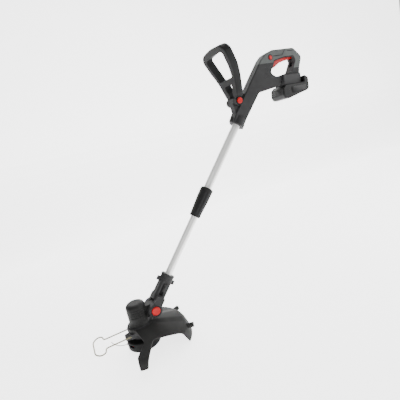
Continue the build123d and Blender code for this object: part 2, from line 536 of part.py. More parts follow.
def build_spool():
    """Spool drum with windows, its cover, the spool with wound line, eyelets and bump knob."""
    drum = post(0, 0, DRUM_BOTTOM + 4, DRUM_TOP, DRUM_R)
    drum = fillet(drum.faces().sort_by(Axis.Z)[-1].edges(), 5.0)
    drum -= post(0, 0, DRUM_BOTTOM, DRUM_TOP - DRUM_WALL, DRUM_R - DRUM_WALL)
    for i in range(6):
        slot = Pos(0, 0, 28) * Rot(0, 0, 60 * i + 30) * Pos(DRUM_R, 0, 0) * Box(12, 22, 9)
        drum -= slot
    drum += post(0, 0, DRUM_TOP - 14, DRUM_TOP - 1, SHAFT_R + 5)
    drum -= post(0, 0, DRUM_BOTTOM, DRUM_TOP + 1, SHAFT_R)
    for i, side in enumerate((-1, 1)):
        seat = Pos(side * DRUM_R, 0, LINE_Z) * Rot(0, 90, 0) * Cylinder(EYELET_R, 12)
        ring = Pos(side * (DRUM_R - 0.5), 0, LINE_Z) * Rot(0, 90, 0) * Cylinder(EYELET_R, 5)
        drum -= seat
        ring -= Pos(side * DRUM_R, 0, LINE_Z) * Rot(0, 90, 0) * Cylinder(LINE_R, 20)
        parts[f"line_eyelet_{i + 1}"] = ring
    parts["spool_drum"] = drum
    cover = post(0, 0, DRUM_BOTTOM, DRUM_BOTTOM + 4, DRUM_R)
    cover = chamfer(cover.faces().sort_by(Axis.Z)[0].edges(), 2.0)
    cover += post(0, 0, DRUM_BOTTOM + 4, DRUM_BOTTOM + 8, DRUM_R - DRUM_WALL) - post(
        0, 0, DRUM_BOTTOM + 3, DRUM_BOTTOM + 9, DRUM_R - DRUM_WALL - 2)
    cover -= post(0, 0, 0, 30, KNOB_R + RUN_FIT)
    parts["spool_cover"] = cover
    floor = SPOOL_FLOOR
    roof = DRUM_TOP - DRUM_WALL - 2
    spool = post(0, 0, floor, floor + 2, SPOOL_R) + post(0, 0, roof - 2, roof, SPOOL_R)
    spool += post(0, 0, floor, roof, SPOOL_CORE_R)
    spool -= post(0, 0, floor - 1, roof + 1, SHAFT_R + 5 + BODY_GAP)
    spool += post(0, 0, floor, floor + 3, SHAFT_R + 6) - post(0, 0, floor - 1, floor + 4, SHAFT_R)
    parts["line_spool"] = spool
    wound = post(0, 0, floor + 2, roof - 2, SPOOL_R - 4) - post(0, 0, floor, roof, SPOOL_CORE_R)
    parts["line_winding"] = wound
    knob = post(0, 0, 0, DRUM_BOTTOM + KNOB_RISE, KNOB_R)
    knob = fillet(knob.faces().sort_by(Axis.Z)[0].edges(), 5.0)
    parts["bump_knob"] = knob


def build_line():
    """Free end of the cutting line: straight runs joined by tangent arcs, trailing from the front eyelet."""
    points = [(-DRUM_R - 2, 0, LINE_Z), (-70, 4, LINE_Z), (-84, 16, LINE_Z), (-94, 33, LINE_Z), (-100, 51, LINE_Z)]
    radii = []
    for a, b, c in zip(points, points[1:], points[2:]):
        first = Vector(*b) - Vector(*a)
        second = Vector(*c) - Vector(*b)
        turn = first.get_angle(second)
        radii.append(0.45 * min(first.length, second.length) / tan(radians(turn / 2)))
    print("cutting line radii", [round(r, 1) for r in radii])
    path = FilletPolyline(*points, radius=radii)
    start = Plane(origin=path @ 0, z_dir=path % 0)
    line = sweep(start * Circle(LINE_R), path=path)
    print("cutting line volume", round(line.volume, 2), "from length", round(path.length * 3.14159 * LINE_R ** 2, 2))
    parts["cutting_line"] = line


def build_guard():
    """Bell-shaped guard cut to a rear fan with a left front wing, its screws and the line cutter."""
    w = GUARD_WALL
    outer = FilletPolyline((GUARD_HUB_R - 2, GUARD_HUB_Z), (GUARD_SHOULDER_R, GUARD_SHOULDER_Z),
                           (GUARD_R, GUARD_FOOT_Z), radius=22)
    inner = FilletPolyline((GUARD_HUB_R - 2, GUARD_HUB_Z - w), (GUARD_SHOULDER_R - w, GUARD_SHOULDER_Z - w),
                           (GUARD_R - w, GUARD_FOOT_Z), radius=22 - w)
    section = make_face(outer + inner + Line(outer @ 0, inner @ 0) + Line(outer @ 1, inner @ 1))
    bell = revolve(Plane.XZ * section, axis=Axis.Z)
    side, far, tip = GUARD_SIDE, GUARD_R + 70, GUARD_R - 4
    plan = make_face(FilletPolyline(
        (-14, side), (far, side), (far, -side - 16), (14, -side), (-17, 16 - tip), (-34, -tip), (-50, 10 - tip),
        (-46, 32 - tip), (-12, 4 - side), (-22, -40), (-22, 30),
        radius=[10, 1, 1, 16, 16, 10, 9, 16, 12, 30, 10], close=True))
    keep = extrude(plan, amount=150)
    guard = bell & keep
    guard -= block(-80, 0, -far, -side - 8, -1, GUARD_WING_Z)
    hub = post(0, 0, BASE_BOTTOM + 24, GUARD_HUB_Z, GUARD_HUB_R) - post(0, 0, 0, 150, BASE_R)
    guard += hub
    for angle, proud in ((-KNOB_ANGLE, 11), (KNOB_ANGLE, 6)):
        knob = Rot(0, 0, angle) * Pos(GUARD_SHOULDER_R, 0, KNOB_Z) * Rot(0, 90, 0)
        guard += knob * Cylinder(KNOB_STUB_R, GUARD_R - GUARD_SHOULDER_R + proud, align=UP)
    for i, angle in enumerate((60, 180, 300)):
        x, y = GUARD_SCREW_R * cos(radians(angle)), GUARD_SCREW_R * sin(radians(angle))
        screw = post(x, y, BASE_BOTTOM + 18, GUARD_HUB_Z - 3, 1.2)
        screw += post(x, y, BASE_BOTTOM + 18 - SCREW_HEAD, BASE_BOTTOM + 18, 2.0)
        parts[f"guard_screw_{i + 1}"] = screw
        guard -= screw
        parts["motor_base"] -= screw
    blade = Rot(0, 0, KNOB_ANGLE) * block(GUARD_R - 30, GUARD_R - 12, -1, 1, 20, 36)
    guard -= blade
    parts["guard"] = guard
    parts["cutter_blade"] = blade


def build_wire_guard():
    """Bent wire guard: two straight legs that slide in the base and a wide rounded front."""
    side = []
    for y, x in ((WIRE_HALF, WIRE_END_X), (WIRE_HALF, WIRE_PINCH_X), (46, WIRE_PINCH_X - 3), (55, WIRE_PINCH_X - 15),
                 (38, WIRE_FRONT_X)):
        side.append((x, y, WIRE_Z))
    points = side + [(x, -y, z) for x, y, z in reversed(side)]
    radii = [8, 12, 12, 30]
    path = FilletPolyline(*points, radius=radii + radii[::-1])
    start = Plane(origin=path @ 0, z_dir=path % 0)
    parts["wire_guard"] = sweep(start * Circle(WIRE_R), path=path)


build_housing()
build_controls()
build_shoe()
build_battery()
build_shaft()
build_front_handle()
build_neck()
build_motor()
build_spool()
build_line()
build_guard()
build_wire_guard()

os.makedirs("parts", exist_ok=True)
for name, solid in parts.items():
    export_step(solid, f"parts/{name}.step")
print(len(parts), "nodes")
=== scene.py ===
import bmesh
import bpy
import json
import numpy as np
from mathutils import Matrix, Vector


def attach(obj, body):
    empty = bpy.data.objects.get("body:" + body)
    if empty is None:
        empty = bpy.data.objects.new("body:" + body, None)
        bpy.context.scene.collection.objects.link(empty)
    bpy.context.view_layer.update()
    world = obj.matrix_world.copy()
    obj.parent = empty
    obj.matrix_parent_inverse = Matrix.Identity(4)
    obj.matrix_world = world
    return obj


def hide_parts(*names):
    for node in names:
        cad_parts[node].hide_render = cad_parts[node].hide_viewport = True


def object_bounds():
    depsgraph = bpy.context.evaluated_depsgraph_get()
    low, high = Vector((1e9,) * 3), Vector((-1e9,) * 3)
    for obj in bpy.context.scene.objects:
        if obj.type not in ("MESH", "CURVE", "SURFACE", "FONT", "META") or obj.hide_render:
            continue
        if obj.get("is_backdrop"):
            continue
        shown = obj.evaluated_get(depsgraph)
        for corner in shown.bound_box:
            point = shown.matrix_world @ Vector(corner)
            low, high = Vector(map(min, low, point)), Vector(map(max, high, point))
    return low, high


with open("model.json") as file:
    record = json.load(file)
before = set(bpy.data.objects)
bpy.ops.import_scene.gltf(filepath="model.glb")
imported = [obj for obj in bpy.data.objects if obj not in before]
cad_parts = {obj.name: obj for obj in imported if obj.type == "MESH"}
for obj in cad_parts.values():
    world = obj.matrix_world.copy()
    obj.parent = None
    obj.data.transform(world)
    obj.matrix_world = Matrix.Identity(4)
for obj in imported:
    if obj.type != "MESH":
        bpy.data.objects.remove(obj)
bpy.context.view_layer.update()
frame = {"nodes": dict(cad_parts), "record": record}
node = frame["nodes"]

# ---------------------------------------------------------------------------------------------
# Studio. The trimmer stands on its bump knob on a lit white paper sweep that curves up behind it, and
# soft panels light its front. The camera stands on the operator's left, ahead of the shaft.
sight = Vector((0.38146, 0.90162, -0.20387)).normalized()
across = Vector((0.88273, -0.42076, -0.20915))
across = (across - across.dot(sight) * sight).normalized()
above = across.cross(sight)
camera = bpy.data.objects.new("camera", bpy.data.cameras.new("camera"))
film_width, focal_pixels, picture_pixels = 36.0, 310.0, 400.0
camera.data.sensor_width = film_width
camera.data.lens = film_width * focal_pixels / picture_pixels
camera.data.clip_start = 0.02
camera.matrix_world = Matrix.Translation((-0.103, -0.958, 0.629)) @ Matrix(
    (across, above, -sight)).transposed().to_4x4()
bpy.context.scene.collection.objects.link(camera)
bpy.context.scene.camera = camera

floor_end, bend, wall_top = 1.4, 0.8, 4.0
bend_turn = np.linspace(0.1, np.pi / 2, 12)
sweep_y = np.r_[-1.0, floor_end, floor_end + bend * np.sin(bend_turn), floor_end + bend]
sweep_z = np.r_[0, 0, bend - bend * np.cos(bend_turn), wall_top]
sweep_points = [(x, y, z) for y, z in zip(sweep_y, sweep_z) for x in (-1.1, 5.0)]
sweep_faces = [(2 * i, 2 * i + 1, 2 * i + 3, 2 * i + 2) for i in range(len(sweep_y) - 1)]
sweep_mesh = bpy.data.meshes.new("paper_sweep")
sweep_mesh.from_pydata(sweep_points, [], sweep_faces)
sweep = bpy.data.objects.new("paper_sweep", sweep_mesh)
bpy.context.scene.collection.objects.link(sweep)
paper = bpy.data.materials.new("lit_white_paper")
paper.use_nodes = True
paper_shader = paper.node_tree.nodes["Principled BSDF"]
paper_shader.inputs["Base Color"].default_value = (0.9, 0.9, 0.9, 1)
paper_shader.inputs["Roughness"].default_value = 0.9
paper_shader.inputs["Emission Color"].default_value = (1, 1, 1, 1)
paper_shader.inputs["Emission Strength"].default_value = 3.0
sweep_mesh.materials.append(paper)
sweep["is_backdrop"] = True

sky = bpy.data.worlds.new("studio_dusk")
sky.use_nodes = True
backdrop = sky.node_tree.nodes["Background"]
backdrop.inputs["Color"].default_value = (1, 1, 1, 1)
backdrop.inputs["Strength"].default_value = 0.25
bpy.context.scene.world = sky


def soft_panel(name, place, aim, size, watts):
    """Square light of the given side at place, turned so that it faces aim."""
    lamp = bpy.data.objects.new(name, bpy.data.lights.new(name, "AREA"))
    lamp.data.size = size
    lamp.data.energy = watts
    lamp.location = place
    lamp.rotation_mode = "QUATERNION"
    lamp.rotation_quaternion = (Vector(aim) - Vector(place)).to_track_quat("-Z", "Y")
    bpy.context.scene.collection.objects.link(lamp)


soft_panel("panel_left", (-1.6, -1.8, 2.4), (0.3, 0, 0.45), 1.6, 26)
soft_panel("panel_top", (0.9, 0.6, 2.6), (0.3, 0, 0.4), 1.8, 26)
soft_panel("panel_right", (2.2, -1.2, 1.2), (0.4, 0, 0.5), 1.2, 40)

# ---------------------------------------------------------------------------------------------
# Telescopic tubes. Drawn aluminium, silver anodised, with the faint lines of drawing along them.
# The outer tube is clamped in the rear housing and the inner one slides in it.
shaft_angle = 49.5
shaft_turn = np.radians(90 - shaft_angle)


def anodised_tube(name, silver, shine):
    """Satin metal whose noise is stretched 40 to 1 along the shaft, for colour, roughness and bump."""
    paint = bpy.data.materials.new(name)
    paint.use_nodes = True
    n, link = paint.node_tree.nodes, paint.node_tree.links.new
    shader = n["Principled BSDF"]
    shader.inputs["Metallic"].default_value = 0.35
    place = n.new("ShaderNodeTexCoord")
    turn = n.new("ShaderNodeMapping")
    turn.vector_type = "TEXTURE"
    turn.inputs["Rotation"].default_value = (0, shaft_turn, 0)
    turn.inputs["Scale"].default_value = (1, 1, 40)
    lines = n.new("ShaderNodeTexNoise")
    lines.inputs["Scale"].default_value = 900
    lines.inputs["Detail"].default_value = 3
    cloud = n.new("ShaderNodeTexNoise")
    cloud.inputs["Scale"].default_value = 14
    shade = n.new("ShaderNodeValToRGB")
    shade.color_ramp.elements[0].color = (*[c * 0.93 for c in silver], 1)
    shade.color_ramp.elements[1].color = (*[min(c * 1.05, 1) for c in silver], 1)
    dull = n.new("ShaderNodeMapRange")
    dull.inputs["To Min"].default_value = shine - 0.06
    dull.inputs["To Max"].default_value = shine + 0.08
    bump = n.new("ShaderNodeBump")
    bump.inputs["Strength"].default_value = 0.12
    bump.inputs["Distance"].default_value = 0.0002
    link(place.outputs["Object"], turn.inputs["Vector"])
    link(turn.outputs["Vector"], lines.inputs["Vector"])
    link(place.outputs["Object"], cloud.inputs["Vector"])
    link(cloud.outputs["Fac"], shade.inputs["Fac"])
    link(lines.outputs["Fac"], dull.inputs["Value"])
    link(lines.outputs["Fac"], bump.inputs["Height"])
    link(shade.outputs["Color"], shader.inputs["Base Color"])
    link(dull.outputs["Result"], shader.inputs["Roughness"])
    link(bump.outputs["Normal"], shader.inputs["Normal"])
    return paint


def dress(piece, paint):
    """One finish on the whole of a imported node."""
    node[piece].data.materials.clear()
    node[piece].data.materials.append(paint)


silver_tube = anodised_tube("silver_anodised_tube", (0.86, 0.86, 0.84), 0.34)
dress("upper_tube", silver_tube)
dress("lower_tube", silver_tube)

# ---------------------------------------------------------------------------------------------
# Rear housing. Two glass-filled nylon halves screwed together on the centre plane, with a fine
# spark-eroded grain, and paler edges painted on as a highlight. The pieces inside take the finish of their slot.
def moulded_plastic(name, tone, shine, grain=1100.0, depth=0.00006, painted_edge_highlight=0.35, gloss=0.25, speck=0.0):
    """Plastic with three layers: a fine grain noise for bump, a broad noise for colour and gloss with a share
    speck of the grain in it, and a painted highlight: paler edges where the surface normal differs from its own
    rounded copy."""
    paint = bpy.data.materials.new(name)
    paint.use_nodes = True
    n, link = paint.node_tree.nodes, paint.node_tree.links.new
    shader = n["Principled BSDF"]
    shader.inputs["Specular IOR Level"].default_value = gloss
    place = n.new("ShaderNodeTexCoord")
    fine = n.new("ShaderNodeTexNoise")
    fine.inputs["Scale"].default_value = grain
    fine.inputs["Detail"].default_value = 2
    broad = n.new("ShaderNodeTexNoise")
    broad.inputs["Scale"].default_value = 22
    broad.inputs["Detail"].default_value = 4
    shade = n.new("ShaderNodeValToRGB")
    shade.color_ramp.elements[0].position = 0.3
    shade.color_ramp.elements[0].color = (*[c * (0.85 - 0.5 * speck) for c in tone], 1)
    shade.color_ramp.elements[1].position = 0.7
    shade.color_ramp.elements[1].color = (*[c * (1.15 + 0.9 * speck) for c in tone], 1)
    flecks = n.new("ShaderNodeMix")
    flecks.inputs["Factor"].default_value = speck
    rounded = n.new("ShaderNodeBevel")
    rounded.samples = 4
    rounded.inputs["Radius"].default_value = 0.0018
    true_face = n.new("ShaderNodeNewGeometry")
    facing = n.new("ShaderNodeVectorMath")
    facing.operation = "DOT_PRODUCT"
    # Painted highlight: where the rounded normal leaves the true one, the colour is mixed towards a paler tone.
    edge = n.new("ShaderNodeMapRange")
    edge.inputs["From Min"].default_value = 0.995
    edge.inputs["From Max"].default_value = 0.85
    edge.inputs["To Max"].default_value = painted_edge_highlight
    edge_highlight_mix = n.new("ShaderNodeMix")
    edge_highlight_mix.data_type = "RGBA"
    edge_highlight_mix.inputs["B"].default_value = (*[min(c * 2.2 + 0.012, 1) for c in tone], 1)
    dull = n.new("ShaderNodeMapRange")
    dull.inputs["To Min"].default_value = shine - 0.08
    dull.inputs["To Max"].default_value = shine + 0.08
    bump = n.new("ShaderNodeBump")
    bump.inputs["Strength"].default_value = 0.5
    bump.inputs["Distance"].default_value = depth
    link(place.outputs["Object"], fine.inputs["Vector"])
    link(place.outputs["Object"], broad.inputs["Vector"])
    link(broad.outputs["Fac"], flecks.inputs["A"])
    link(fine.outputs["Fac"], flecks.inputs["B"])
    link(flecks.outputs["Result"], shade.inputs["Fac"])
    link(rounded.outputs["Normal"], facing.inputs[0])
    link(true_face.outputs["True Normal"], facing.inputs[1])
    link(facing.outputs["Value"], edge.inputs["Value"])
    link(edge.outputs["Result"], edge_highlight_mix.inputs["Factor"])
    link(shade.outputs["Color"], edge_highlight_mix.inputs["A"])
    link(edge_highlight_mix.outputs["Result"], shader.inputs["Base Color"])
    link(broad.outputs["Fac"], dull.inputs["Value"])
    link(dull.outputs["Result"], shader.inputs["Roughness"])
    link(fine.outputs["Fac"], bump.inputs["Height"])
    link(rounded.outputs["Normal"], bump.inputs["Normal"])
    link(bump.outputs["Normal"], shader.inputs["Normal"])
    return paint


charcoal = moulded_plastic("charcoal_nylon", (0.0370, 0.0370, 0.0376), 0.56, gloss=0.08)
soft_grey = moulded_plastic("soft_grey_skin", (0.090, 0.097, 0.094), 0.72, grain=1700, painted_edge_highlight=0.1)
signal_red = moulded_plastic("signal_red_plastic", (0.47, 0.0010, 0.002), 0.45, depth=0.00002, painted_edge_highlight=0.15)
shoe_grey = moulded_plastic("shoe_grey_nylon", (0.036, 0.036, 0.037), 0.56, gloss=0.18)
bright_steel = anodised_tube("bright_steel", (0.62, 0.62, 0.60), 0.30)
dark_iron = moulded_plastic("dark_iron", (0.10, 0.10, 0.105), 0.45)
board_green = moulded_plastic("board_green", (0.02, 0.10, 0.035), 0.40)
cell_blue = moulded_plastic("cell_blue", (0.05, 0.12, 0.24), 0.38)
line_brown = moulded_plastic("line_brown", (0.050, 0.006, 0.004), 0.45, painted_edge_highlight=0.0, gloss=0.1)

finish_of_slot = {"black": charcoal, "soft_grip": soft_grey, "red": signal_red, "grey_plastic": shoe_grey,
                  "steel": bright_steel, "motor_metal": dark_iron, "board": board_green, "cell": cell_blue,
                  "line": line_brown}
slot_of_node = {p["node"]: p["material_slot"] for p in frame["record"]["subparts"]}
for piece in node:
    if slot_of_node[piece] in finish_of_slot:
        dress(piece, finish_of_slot[slot_of_node[piece]])

# ---------------------------------------------------------------------------------------------
# Twist sleeve. A fluted nylon nut that squeezes the collet on the inner tube when it is turned.
# Moulded in one piece, widest near the top, with rounded ends and a lip round the inner tube.
shaft_foot = np.array((0.055, 0.0, 0.112))
up_shaft = np.array((np.cos(np.radians(shaft_angle)), 0.0, np.sin(np.radians(shaft_angle))))
off_shaft = np.array((-up_shaft[2], 0.0, up_shaft[0]))
sideways = np.array((0.0, 1.0, 0.0))


def lay_mesh(name, points, quads, merge):
    """Smooth object of the given quads, with points closer together than merge made one."""
    mesh = bpy.data.meshes.new(name)
    mesh.from_pydata(points.tolist(), [], quads.tolist())
    shape = bmesh.new()
    shape.from_mesh(mesh)
    bmesh.ops.remove_doubles(shape, verts=shape.verts, dist=merge)
    shape.to_mesh(mesh)
    shape.free()
    mesh.polygons.foreach_set("use_smooth", np.ones(len(mesh.polygons), bool))
    piece = bpy.data.objects.new(name, mesh)
    bpy.context.scene.collection.objects.link(piece)
    return piece


def quads_of(index):
    """Quads between neighbouring entries of a grid of point numbers."""
    return np.stack([index[:-1, :-1], index[:-1, 1:], index[1:, 1:], index[1:, :-1]], -1).reshape(-1, 4)


def skin(name, points, join_rows=False, join_columns=False):
    """Mesh of quads between neighbouring points of a (rows, columns, 3) grid, which closes on itself
    where it is joined. Points in one place are merged, and faces turn so that the volume is positive."""
    rows, columns = points.shape[:2]
    index = np.arange(rows * columns).reshape(rows, columns)
    if join_rows:
        index = np.vstack([index, index[:1]])
    if join_columns:
        index = np.hstack([index, index[:, :1]])
    quads = quads_of(index)
    flat = points.reshape(-1, 3)
    spot = flat - flat.mean(0)
    a, b, c, d = (spot[quads[:, i]] for i in range(4))
    if np.einsum("ij,ij", a, np.cross(b, c)) + np.einsum("ij,ij", a, np.cross(c, d)) < 0:
        quads = quads[:, ::-1]
    return lay_mesh(name, flat, quads, 1e-6)


def finish_piece(piece, paint, body, slot, *stands_for):
    """Gives a new piece its finish and its body, and hides the nodes that it stands for. The slot is not used."""
    piece.data.materials.append(paint)
    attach(piece, body)
    if stands_for:
        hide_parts(*stands_for)


def twist_sleeve():
    """Closed profile turned round the shaft: the outside grows from 18.5 to 22 mm by a smooth step and is
    rounded off by a quarter circle at each end; nine flutes dip 1.3 mm as a raised cosine of the angle."""
    low, run, lip = 0.330, 0.107, 0.004
    outer_bore, inner_bore = 0.01408, 0.01208
    way = 0.5 - 0.5 * np.cos(np.linspace(0, np.pi, 64))
    grow = np.clip(way / 0.8, 0, 1)
    radius = 0.0185 + 0.0035 * grow * grow * (3 - 2 * grow)
    near_low = np.clip(1 - way * run / 0.003, 0, 1)
    near_top = np.clip(1 - (1 - way) * run / 0.006, 0, 1)
    radius = radius - 0.003 * (1 - np.sqrt(1 - near_low ** 2)) - 0.006 * (1 - np.sqrt(1 - near_top ** 2))
    depth = 0.0013 * np.clip((way - 0.08) / 0.08, 0, 1) * np.clip((0.9 - way) / 0.08, 0, 1)
    inside_u = np.array([low + run, low + lip, low + lip, low])
    inside_r = np.array([outer_bore, outer_bore, inner_bore, inner_bore])
    u = np.concatenate([low + way * run, inside_u])[:, None]
    r = np.concatenate([radius, inside_r])[:, None]
    dip = np.concatenate([depth, np.zeros(4)])[:, None]
    turn = np.linspace(0, 2 * np.pi, 180, endpoint=False)[None, :]
    r = r - dip * (0.5 + 0.5 * np.cos(9 * turn)) ** 1.6
    points = (shaft_foot + u[..., None] * up_shaft + (r * np.cos(turn))[..., None] * off_shaft
              + (r * np.sin(turn))[..., None] * sideways)
    return skin("twist_sleeve", points, join_rows=True, join_columns=True)


sleeve_black = moulded_plastic("sleeve_black_nylon", (0.0220, 0.0220, 0.0223), 0.58, gloss=0.08)
finish_piece(twist_sleeve(), sleeve_black, "sleeve", "black", "locking_sleeve")

# ---------------------------------------------------------------------------------------------
# Grip studs and skin seam. The housing's cheeks carry rows of small moulded studs for the hand,
# and the soft skin on the top bar is parted by a dark stepped seam with a short slit behind it.
cheek = 0.0185
sunk = 0.0003
hands = (("left", -1), ("right", 1))


def studs(name, centres, radius, height, side):
    """Spherical caps on the faces y = side * cheek: ring k stands at radius sin(k) and height cos(k) of a
    quarter circle, squeezed to the stud's radius and height."""
    ring = np.linspace(0, np.pi / 2, 5)
    turn = np.linspace(0, 2 * np.pi, 10, endpoint=False)
    cap_x = radius * np.sin(ring)[:, None] * np.cos(turn)
    cap_z = radius * np.sin(ring)[:, None] * np.sin(turn)
    cap_y = side * (cheek - sunk + (height + sunk) * np.cos(ring)[:, None]) + 0 * turn
    cap = np.stack([cap_x, cap_y, cap_z], -1).reshape(-1, 3)
    spots = np.array(centres)
    points = cap[None] + np.stack([spots[:, 0], 0 * spots[:, 0], spots[:, 1]], -1)[:, None]
    index = np.arange(len(cap)).reshape(len(ring), len(turn))
    quads = quads_of(np.hstack([index, index[:, :1]]))
    if side < 0:
        quads = quads[:, ::-1]
    faces = (quads[None] + len(cap) * np.arange(len(spots))[:, None, None]).reshape(-1, 4)
    return lay_mesh(name, points.reshape(-1, 3), faces, 1e-7)


row, step = np.mgrid[0:9, 0:5]
stud_x = 0.643 + 0.0055 * step + 0.0021 * row * 0.5 + 0.0027 * (row % 2)
stud_z = 0.770 + 0.0054 * row
stud_spots = np.stack([stud_x.ravel(), stud_z.ravel()], -1)
for hand, side in hands:
    finish_piece(studs(f"grip_studs_{hand}", stud_spots, 0.0017, 0.0006, side), charcoal, "handle", "black")


def bead(name, route, width, height, side):
    """Bead on the face y = side * cheek: across the route it is an ellipse of the given width, which rises and
    sinks by height, and it closes to a point at each end."""
    path = np.array(route)
    lengths = np.r_[0, np.cumsum(np.linalg.norm(np.diff(path, axis=0), axis=1))]
    fine = np.unique(np.r_[np.linspace(0, lengths[-1], 40), lengths])
    px, pz = np.interp(fine, lengths, path[:, 0]), np.interp(fine, lengths, path[:, 1])
    ahead = np.gradient(np.stack([px, pz], -1), axis=0)
    ahead /= np.linalg.norm(ahead, axis=1, keepdims=True)
    taper = np.sqrt(np.clip(np.minimum(fine, lengths[-1] - fine) / width, 0, 1))
    turn = np.linspace(0, 2 * np.pi, 16, endpoint=False)
    wide = 0.5 * width * taper[:, None] * np.cos(turn)
    tall = height * taper[:, None] * np.sin(turn)
    x = px[:, None] - ahead[:, 1:] * wide
    z = pz[:, None] + ahead[:, :1] * wide
    return skin(name, np.stack([x, side * (cheek + tall), z], -1), join_columns=True)


# Dark joint colour for the seams; the same dark material is also painted shade in screw cross recesses and the
# blind screw hole.
seam_black_and_recess_shade = moulded_plastic("seam_black_and_recess_shade", (0.012, 0.012, 0.012), 0.6, painted_edge_highlight=0.0)
for hand, side in hands:
    step_route = [(0.690, 0.8405), (0.731, 0.8405), (0.7466, 0.8575)]
    seam = bead(f"skin_seam_{hand}", step_route, 0.0026, 0.0003, side)
    finish_piece(seam, seam_black_and_recess_shade, "handle", "black")
    slit = bead(f"skin_slit_{hand}", [(0.757, 0.8535), (0.784, 0.8515)], 0.0022, 0.0003, side)
    finish_piece(slit, seam_black_and_recess_shade, "handle", "black")

# ---------------------------------------------------------------------------------------------
# Battery face. Each side of the pack carries a smooth low panel, bare here, and its front end has four
# vent bars across it. All are moulded with the case.
def plate(name, middle, long_way, wide_way, long_half, wide_half, height, edge=0.12, power=6.0):
    """Low cushion on a flat face: rings of the superellipse |a|^p + |b|^p = 1 from the middle to the rim, flat
    over the inner share and falling as a quarter circle over the edge share, closed just under the face."""
    fall = np.linspace(0, np.pi / 2, 6)
    ring = np.r_[0, 0.5 * (1 - edge), 1 - edge + edge * np.sin(fall), 1, 0][:, None]
    rise = np.r_[height, height, height * np.cos(fall), -sunk, -sunk][:, None]
    turn = np.linspace(0, 2 * np.pi, 72, endpoint=False)
    reach = (np.abs(np.cos(turn)) ** power + np.abs(np.sin(turn)) ** power) ** (-1 / power)
    a, b = long_half * ring * reach * np.cos(turn), wide_half * ring * reach * np.sin(turn)
    long_way, wide_way = np.array(long_way, float), np.array(wide_way, float)
    out = np.cross(long_way, wide_way)
    points = (np.array(middle) + a[..., None] * long_way + b[..., None] * wide_way
              + (rise + 0 * turn)[..., None] * out)
    return skin(name, points, join_columns=True)


pack_half = 0.037
vent_pitch = 0.0048
pack_black = moulded_plastic("pack_black_nylon", (0.0060, 0.0060, 0.0061), 0.46, gloss=0.18)
panel_black = moulded_plastic("panel_black_gloss", (0.0040, 0.0040, 0.0040), 0.36, grain=500, depth=0.00001,
                              gloss=0.18)
for hand, side in hands:
    lengthways, upright = (1, 0, 0), (0, 0, -side)
    panel_middle = (0.772, side * pack_half, 0.7135)
    finish_piece(plate(f"pack_panel_{hand}", panel_middle, lengthways, upright, 0.036, 0.0125, 0.0007),
                 panel_black, "battery", "black")
front_slope = np.array((3.0, 0.0, 24.0)) / np.hypot(3.0, 24.0)
for bar in range(4):
    spot = np.array((0.69925, 0.0, 0.7205)) - vent_pitch * bar * front_slope
    vent = plate(f"pack_vent_{bar + 1}", spot, sideways, front_slope, 0.025, 0.0014, 0.0009, edge=0.5, power=4)
    finish_piece(vent, pack_black, "battery", "black")
for piece in ("battery_case_lower", "battery_case_upper", "battery_release_button"):
    dress(piece, pack_black)

# ---------------------------------------------------------------------------------------------
# Arm seams and housing screws. The two housing halves meet in a fine dark line along the arm's front and
# rear, and four cross-head steel screws hold them from the operator's right.
def on_shaft(u, v, y):
    """Point u along the shaft, v in front of its axis and y across it, in metres."""
    return shaft_foot + u * up_shaft + v * off_shaft + y * sideways


def seam_line(name, start, end, out, width, height):
    """Straight bead from start to end on a face whose normal is out: across it is an ellipse of the given width,
    which rises and sinks by height, and it closes to a point at each end."""
    start, end, out = (np.array(v, float) for v in (start, end, out))
    length = np.linalg.norm(end - start)
    beside = np.cross(out, (end - start) / length)
    way = np.linspace(0, 1, 40)[:, None]
    taper = np.sqrt(np.clip(np.minimum(way, 1 - way) * length / (2 * width), 0, 1))
    turn = np.linspace(0, 2 * np.pi, 12, endpoint=False)[None, :]
    points = (start + way[..., None] * (end - start) + (0.5 * width * taper * np.cos(turn))[..., None] * beside
              + (height * taper * np.sin(turn))[..., None] * out)
    return skin(name, points, join_columns=True)


seam_width, seam_height = 0.0009, 0.00025
arm_seams = (("front", 0.797, 0.914, 0.027, off_shaft), ("rear", 0.712, 0.845, -0.019, -off_shaft))
for end, low_u, top_u, v, out in arm_seams:
    seam = seam_line(f"arm_seam_{end}", on_shaft(low_u, v, 0), on_shaft(top_u, v, 0), out, seam_width, seam_height)
    finish_piece(seam, seam_black_and_recess_shade, "handle", "black")


def cross_recess(screw, body):
    """Painted shade of the cross recess on the head of a screw that faces the operator's right: two crossed dark
    plates at its middle.
    """
    spots = np.array([v.co for v in node[screw].data.vertices])
    middle = (spots.min(0) + spots.max(0)) / 2
    middle[1] = spots[:, 1].max()
    for arm, slant in (("a", 0.4), ("b", 0.4 + np.pi / 2)):
        long_way = (np.cos(slant), 0, np.sin(slant))
        wide_way = (np.sin(slant), 0, -np.cos(slant))
        slot = plate(f"{screw}_cross_{arm}", middle, long_way, wide_way, 0.0021, 0.00045, 0.00012, edge=0.4)
        finish_piece(slot, seam_black_and_recess_shade, body, "steel")


for number in range(1, 5):
    cross_recess(f"housing_screw_{number}", "handle")

# ---------------------------------------------------------------------------------------------
# Front handle trim. A moulded ring stands round the red lock button on the hub, the loop's top is
# left rough for the hand, and a small blind screw hole, its inside a dark disc of painted shade, shows beside it.
def ring_round(name, middle, out, inner, outer, height, sides=96):
    """Ring about the axis out: a half ellipse from the inner to the outer radius, closed just under the face."""
    out = np.array(out, float)
    one = np.cross(out, (1, 0, 0)) if abs(out[0]) < 0.9 else np.cross(out, (0, 1, 0))
    one /= np.linalg.norm(one)
    two = np.cross(out, one)
    sweep_angle = np.linspace(0, np.pi, 11)
    radius = np.r_[(inner + outer) / 2 - (outer - inner) / 2 * np.cos(sweep_angle), outer, inner][:, None]
    rise = np.r_[height * np.sin(sweep_angle), -sunk, -sunk][:, None]
    turn = np.linspace(0, 2 * np.pi, sides, endpoint=False)
    points = (np.array(middle) + (radius * np.cos(turn))[..., None] * one
              + (radius * np.sin(turn))[..., None] * two + (rise + 0 * turn)[..., None] * out)
    return skin(name, points, join_rows=True, join_columns=True)


